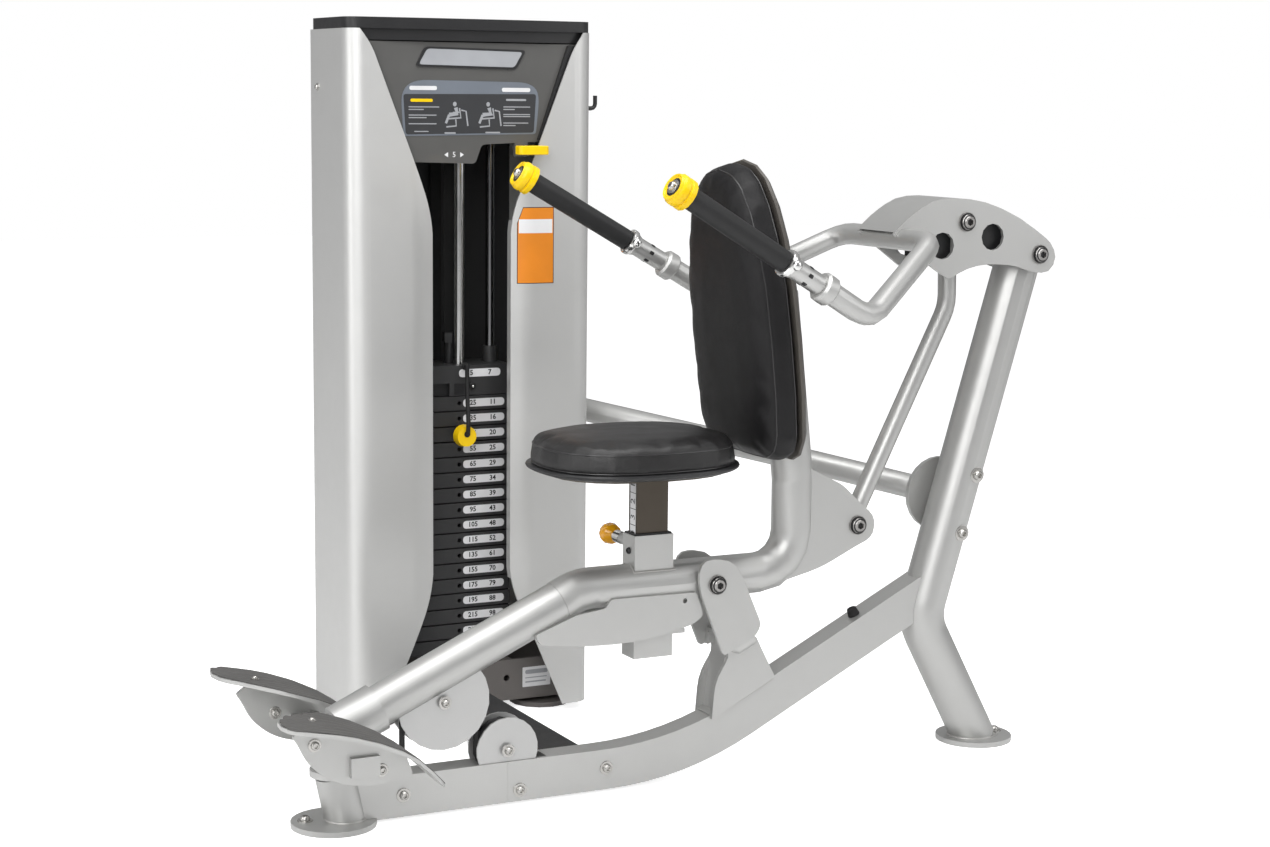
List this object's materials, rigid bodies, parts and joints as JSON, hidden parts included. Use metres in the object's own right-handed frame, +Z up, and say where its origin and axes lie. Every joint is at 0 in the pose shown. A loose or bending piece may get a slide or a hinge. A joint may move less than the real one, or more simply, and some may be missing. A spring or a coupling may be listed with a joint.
{
  "type": "seated dip machine",
  "caption": "Selectorised seated dip machine: a rocking seat carriage and swivel dip handles linked to a weight stack in a tall shrouded tower",
  "frame": {"origin": "on the floor under the centre of the front foot", "axes": "+X along the rail to the rear upright, +Y across to the weight tower, +Z up"},
  "size_m": [1.6456, 1.123, 1.427],
  "materials": {
    "silver_paint": "metallic silver powder coat",
    "cover_paint": "smooth metallic silver paint on sheet",
    "dark_steel": "dark grey textured paint",
    "black_steel": "black painted steel plate",
    "chrome": "bright plated steel",
    "sleeve_metal": "light silver machined sleeve",
    "black_plastic": "black moulded plastic",
    "grey_plastic": "charcoal moulded plastic",
    "black_rubber": "black rubber and belt",
    "foam_grip": "soft matt grip foam",
    "yellow_plastic": "yellow moulded plastic",
    "vinyl": "black upholstery vinyl over foam"
  },
  "bodies": {
    "frame": {"front_foot": "silver_paint", "rail_front": "silver_paint", "rail_rear": "silver_paint", "rear_upright": "silver_paint", "pivot_bracket": "silver_paint", "cross_beam": "dark_steel", "tower_base": "dark_steel", "tower_column_left": "dark_steel", "tower_column_right": "dark_steel", "tower_top_beam": "dark_steel", "left_cover": "cover_paint", "right_cover": "cover_paint", "rear_panel": "dark_steel", "top_cap": "black_plastic", "header_board": "grey_plastic", "guide_rod_left": "chrome", "guide_rod_right": "chrome", "resting_plates": "black_steel", "rail_pulley_guard": "silver_paint", "drive_belt": "black_rubber", "carriage_belt": "black_rubber", "lift_belt": "black_rubber", "brace_tube": "silver_paint", "rail_bumper": "black_rubber", "arm_pivot_bolt": "chrome", "rock_pivot_bolt": "chrome", "towel_hook": "black_plastic"},
    "addon_lever": {"addon_lever": "yellow_plastic"},
    "top_pulley": {"top_pulley": "black_plastic"},
    "base_pulley": {"base_pulley": "black_plastic"},
    "rail_pulley": {"rail_pulley": "black_plastic"},
    "carriage_pulley": {"carriage_pulley": "black_plastic"},
    "stack": {"top_plate": "black_steel", "selected_plates": "black_steel", "selector_stem": "chrome", "addon_rod": "chrome", "pin_lanyard": "black_rubber"},
    "selector_pin": {"selector_pin": "yellow_plastic"},
    "arm": {"arm_box": "silver_paint", "handle_tube": "silver_paint", "link_bolt_upper": "chrome"},
    "handle_near": {"handle_sleeve_near": "sleeve_metal", "grip_near": "foam_grip", "grip_cap_near": "yellow_plastic"},
    "handle_far": {"handle_sleeve_far": "sleeve_metal", "grip_far": "foam_grip", "grip_cap_far": "yellow_plastic"},
    "link": {"link_rod": "silver_paint"},
    "carriage": {"carriage_frame": "silver_paint", "front_tube": "silver_paint", "carriage_pulley_guard": "silver_paint", "footrest_frame": "silver_paint", "footrest_near": "grey_plastic", "footrest_far": "grey_plastic", "link_bolt_lower": "chrome", "backrest_shell": "black_plastic", "backrest_pad": "vinyl"},
    "seat": {"seat_post": "chrome", "seat_pad": "vinyl"},
    "seat_pull_pin": {"seat_pull_pin": "yellow_plastic"}
  },
  "joints": [
    {"name": "carriage_rock", "type": "hinge", "parent": "frame", "child": "carriage", "pos_m": [0.738, 0, 0.379], "axis": [0, 1, 0], "range_deg": [0, 10], "deforming": ["carriage_belt"]},
    {"name": "arm_press", "type": "hinge", "parent": "frame", "child": "arm", "pos_m": [1.438, 0, 0.981], "axis": [0, -1, 0], "range_deg": [0, 15.6]},
    {"name": "link_swing", "type": "hinge", "parent": "arm", "child": "link", "pos_m": [1.264, 0, 1.047], "axis": [0, 1, 0], "range_deg": [0, 13.3]},
    {"name": "stack_lift", "type": "slide", "parent": "frame", "child": "stack", "axis": [0, 0, 1], "range_m": [0, 0.193], "deforming": ["lift_belt"]},
    {"name": "top_pulley_spin", "type": "hinge", "parent": "frame", "child": "top_pulley", "pos_m": [0.495, 0.707, 1.3], "axis": [-1, 0, 0], "range_deg": [0, 300]},
    {"name": "base_pulley_spin", "type": "hinge", "parent": "frame", "child": "base_pulley", "pos_m": [0.495, 0.707, 0.082], "axis": [-1, 0, 0], "range_deg": [0, 320]},
    {"name": "rail_pulley_spin", "type": "hinge", "parent": "frame", "child": "rail_pulley", "pos_m": [0.32482, 0, 0.104], "axis": [0, 1, 0], "range_deg": [0, 215]},
    {"name": "carriage_pulley_spin", "type": "hinge", "parent": "carriage", "child": "carriage_pulley", "pos_m": [0.20102, 0, 0.20607], "axis": [0, -1, 0], "range_deg": [0, 90]},
    {"name": "near_handle_swivel", "type": "hinge", "parent": "arm", "child": "handle_near", "pos_m": [0.808, -0.298, 0.949], "axis": [-0.8633, -0.0599, 0.5011], "range_deg": [-90, 90]},
    {"name": "far_handle_swivel", "type": "hinge", "parent": "arm", "child": "handle_far", "pos_m": [0.808, 0.298, 0.949], "axis": [-0.8633, 0.0599, 0.5011], "range_deg": [-90, 90]},
    {"name": "seat_height", "type": "slide", "parent": "carriage", "child": "seat", "axis": [0, 0, 1], "range_m": [-0.075, 0.05]},
    {"name": "seat_pin_pull", "type": "slide", "parent": "carriage", "child": "seat_pull_pin", "axis": [0, 1, 0], "range_m": [0, 0.012], "stiffness_N_per_m": 400},
    {"name": "weight_pin_pull", "type": "slide", "parent": "stack", "child": "selector_pin", "axis": [0, -1, 0], "range_m": [0, 0.11]},
    {"name": "addon_lever_turn", "type": "hinge", "parent": "frame", "child": "addon_lever", "pos_m": [0.603, 0.52, 1.17], "axis": [0, 1, 0], "range_deg": [0, 30]}
  ],
  "couplings": [
    {"joint": "arm_press", "follows": "carriage_rock", "ratio": 1.546},
    {"joint": "link_swing", "follows": "carriage_rock", "ratio": 1.3125},
    {"joint": "stack_lift", "follows": "carriage_rock", "m_per_rad": 1.0987},
    {"joint": "top_pulley_spin", "follows": "carriage_rock", "ratio": 29},
    {"joint": "base_pulley_spin", "follows": "carriage_rock", "ratio": 30.7},
    {"joint": "rail_pulley_spin", "follows": "carriage_rock", "ratio": 21.1},
    {"joint": "carriage_pulley_spin", "follows": "carriage_rock", "ratio": 8.6}
  ]
}
